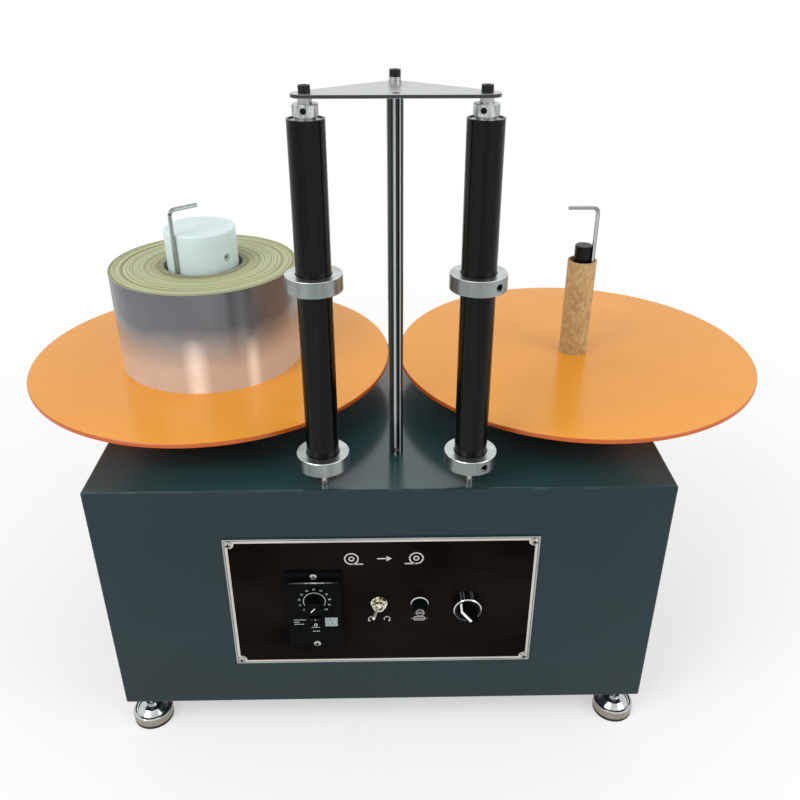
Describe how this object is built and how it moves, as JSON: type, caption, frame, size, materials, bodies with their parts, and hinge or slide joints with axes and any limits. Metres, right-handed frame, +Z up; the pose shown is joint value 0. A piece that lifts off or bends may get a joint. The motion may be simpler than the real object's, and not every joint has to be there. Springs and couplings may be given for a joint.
{
  "type": "label rewinder",
  "caption": "Motor driven bench label rewinder: orange turntables on a dark cabinet, upright guide rollers with width collars under a triangular plate, and a front control panel.",
  "frame": {"origin": "on the floor under the middle of the machine's bounding box", "axes": "+Z up, +X to the right as seen from the front, along both turntables; the control panel faces -Y"},
  "size_m": [0.8595, 0.4699, 0.7233],
  "materials": {
    "cabinet_paint": "dark blue-grey powder coat, satin gloss",
    "panel_print": "gloss black print on a satin silver plate with a bare border",
    "bright_steel": "ground and polished",
    "black_steel": "black oxide",
    "bearing_steel": "ground",
    "collar_aluminium": "turned, clear anodised",
    "plate_steel": "satin",
    "black_tube": "gloss black anodised",
    "orange_board": "orange phenolic laminate, satin",
    "white_nylon": "turned white nylon, slightly translucent",
    "label_film": "wound metallised label web, striated ends",
    "cardboard": "spiral wound kraft board",
    "black_plastic": "moulded black plastic",
    "switch_chrome": "bright plating",
    "fuse_glass": "clear glass tube with plated ends",
    "cast_housing": "machined casting",
    "motor_paint": "grey enamel",
    "belt_rubber": "matte",
    "foot_plating": "bright nickel plating over a black rubber pad"
  },
  "bodies": {
    "cabinet": {"cabinet_shell": "cabinet_paint", "base_plate": "cabinet_paint", "rear_cover": "cabinet_paint", "cover_screws": "bright_steel", "power_inlet": "black_plastic", "hex_nuts": "bright_steel", "control_panel": "panel_print", "panel_screws": "bright_steel", "speed_controller": "black_plastic", "toggle_switch": "switch_chrome", "panel_nuts": "bright_steel", "fuse_holder": "black_plastic", "selector_switch": "switch_chrome", "bearing_housings": "cast_housing", "spindle_bearings": "bearing_steel", "m6_screws": "bright_steel", "drive_belt": "belt_rubber", "motor_bracket": "plate_steel", "gearbox": "cast_housing", "motor": "motor_paint", "roller_shafts": "bright_steel", "roller_bearings": "bearing_steel", "top_shaft_collars": "collar_aluminium", "back_post": "bright_steel", "top_plate": "plate_steel", "plate_screws": "black_steel", "post_washer": "bright_steel"},
    "left_turntable": {"left_spindle": "bright_steel", "left_turntable": "orange_board", "left_disc_screws": "bright_steel", "left_shaft_collar": "bright_steel", "core_adapter": "white_nylon", "adapter_screw": "black_steel"},
    "right_turntable": {"right_spindle": "black_steel", "right_turntable": "orange_board", "right_disc_screws": "bright_steel", "driven_pulley": "cast_housing"},
    "motor_drive": {"motor_shaft": "bright_steel", "motor_pulley": "cast_housing"},
    "label_roll": {"label_web": "label_film", "label_core": "cardboard"},
    "left_hex_key": {"left_hex_key": "bright_steel"},
    "right_core": {"right_core": "cardboard"},
    "right_hex_key": {"right_hex_key": "bright_steel"},
    "left_roller": {"left_roller_tube": "black_tube", "left_base_collar": "collar_aluminium"},
    "right_roller": {"right_roller_tube": "black_tube", "right_base_collar": "collar_aluminium"},
    "left_width_collar": {"left_width_collar": "collar_aluminium"},
    "right_width_collar": {"right_width_collar": "collar_aluminium"},
    "speed_knob": {"speed_knob": "black_plastic"},
    "rocker": {"rocker": "black_plastic"},
    "toggle_lever": {"toggle_lever": "switch_chrome"},
    "fuse_link": {"fuse_link": "fuse_glass"},
    "fuse_cap": {"fuse_cap": "black_plastic"},
    "selector_handle": {"selector_handle": "black_plastic"},
    "foot_front_left": {"foot_front_left": "foot_plating"},
    "foot_front_right": {"foot_front_right": "foot_plating"},
    "foot_rear_left": {"foot_rear_left": "foot_plating"},
    "foot_rear_right": {"foot_rear_right": "foot_plating"}
  },
  "joints": [
    {"name": "left_turntable_spin", "type": "hinge", "parent": "cabinet", "child": "left_turntable", "pos_m": [-0.2182, 0.02335, 0.3779], "axis": [0, 0, 1], "continuous": true},
    {"name": "right_turntable_spin", "type": "hinge", "parent": "cabinet", "child": "right_turntable", "pos_m": [0.2182, 0.02335, 0.3779], "axis": [0, 0, 1], "continuous": true},
    {"name": "motor_spin", "type": "hinge", "parent": "cabinet", "child": "motor_drive", "pos_m": [0.06, 0.02335, 0.2565], "axis": [0, 0, 1], "continuous": true},
    {"name": "left_roller_spin", "type": "hinge", "parent": "cabinet", "child": "left_roller", "pos_m": [-0.0731, -0.19295, 0.362], "axis": [0, 0, 1], "continuous": true},
    {"name": "left_width_collar_slide", "type": "slide", "parent": "left_roller", "child": "left_width_collar", "axis": [0, 0, 1], "range_m": [-0.168, 0.13]},
    {"name": "right_roller_spin", "type": "hinge", "parent": "cabinet", "child": "right_roller", "pos_m": [0.0731, -0.19295, 0.362], "axis": [0, 0, 1], "continuous": true},
    {"name": "right_width_collar_slide", "type": "slide", "parent": "right_roller", "child": "right_width_collar", "axis": [0, 0, 1], "range_m": [-0.168, 0.13]},
    {"name": "label_roll_lift", "type": "slide", "parent": "left_turntable", "child": "label_roll", "axis": [0, 0, 1], "range_m": [0, 0.165]},
    {"name": "left_key_lift", "type": "slide", "parent": "label_roll", "child": "left_hex_key", "axis": [0, 0, 1], "range_m": [0, 0.12]},
    {"name": "right_core_lift", "type": "slide", "parent": "right_turntable", "child": "right_core", "axis": [0, 0, 1], "range_m": [0, 0.14]},
    {"name": "right_key_lift", "type": "slide", "parent": "right_core", "child": "right_hex_key", "axis": [0, 0, 1], "range_m": [0, 0.12]},
    {"name": "speed_knob_turn", "type": "hinge", "parent": "cabinet", "child": "speed_knob", "pos_m": [-0.0886, -0.21645, 0.2025], "axis": [0, 1, 0], "range_deg": [0, 270]},
    {"name": "rocker_tilt", "type": "hinge", "parent": "cabinet", "child": "rocker", "pos_m": [-0.0886, -0.21345, 0.174], "axis": [1, 0, 0], "range_deg": [-16, 0]},
    {"name": "toggle_throw", "type": "hinge", "parent": "cabinet", "child": "toggle_lever", "pos_m": [-0.0198, -0.21245, 0.192], "axis": [0, 0, 1], "range_deg": [0, 32]},
    {"name": "fuse_pull", "type": "slide", "parent": "cabinet", "child": "fuse_link", "axis": [0, -1, 0], "range_m": [0, 0.032]},
    {"name": "fuse_cap_turn", "type": "hinge", "parent": "fuse_link", "child": "fuse_cap", "pos_m": [0.024, -0.21265, 0.192], "axis": [0, 1, 0], "range_deg": [-90, 0]},
    {"name": "selector_turn", "type": "hinge", "parent": "cabinet", "child": "selector_handle", "pos_m": [0.075, -0.20845, 0.192], "axis": [0, 1, 0], "range_deg": [0, 90]},
    {"name": "foot_front_left_height", "type": "slide", "parent": "cabinet", "child": "foot_front_left", "axis": [0, 0, -1], "range_m": [0, 0.01]},
    {"name": "foot_front_right_height", "type": "slide", "parent": "cabinet", "child": "foot_front_right", "axis": [0, 0, -1], "range_m": [0, 0.01]},
    {"name": "foot_rear_left_height", "type": "slide", "parent": "cabinet", "child": "foot_rear_left", "axis": [0, 0, -1], "range_m": [0, 0.01]},
    {"name": "foot_rear_right_height", "type": "slide", "parent": "cabinet", "child": "foot_rear_right", "axis": [0, 0, -1], "range_m": [0, 0.01]}
  ],
  "couplings": [
    {"joint": "motor_spin", "follows": "right_turntable_spin", "ratio": 2}
  ]
}
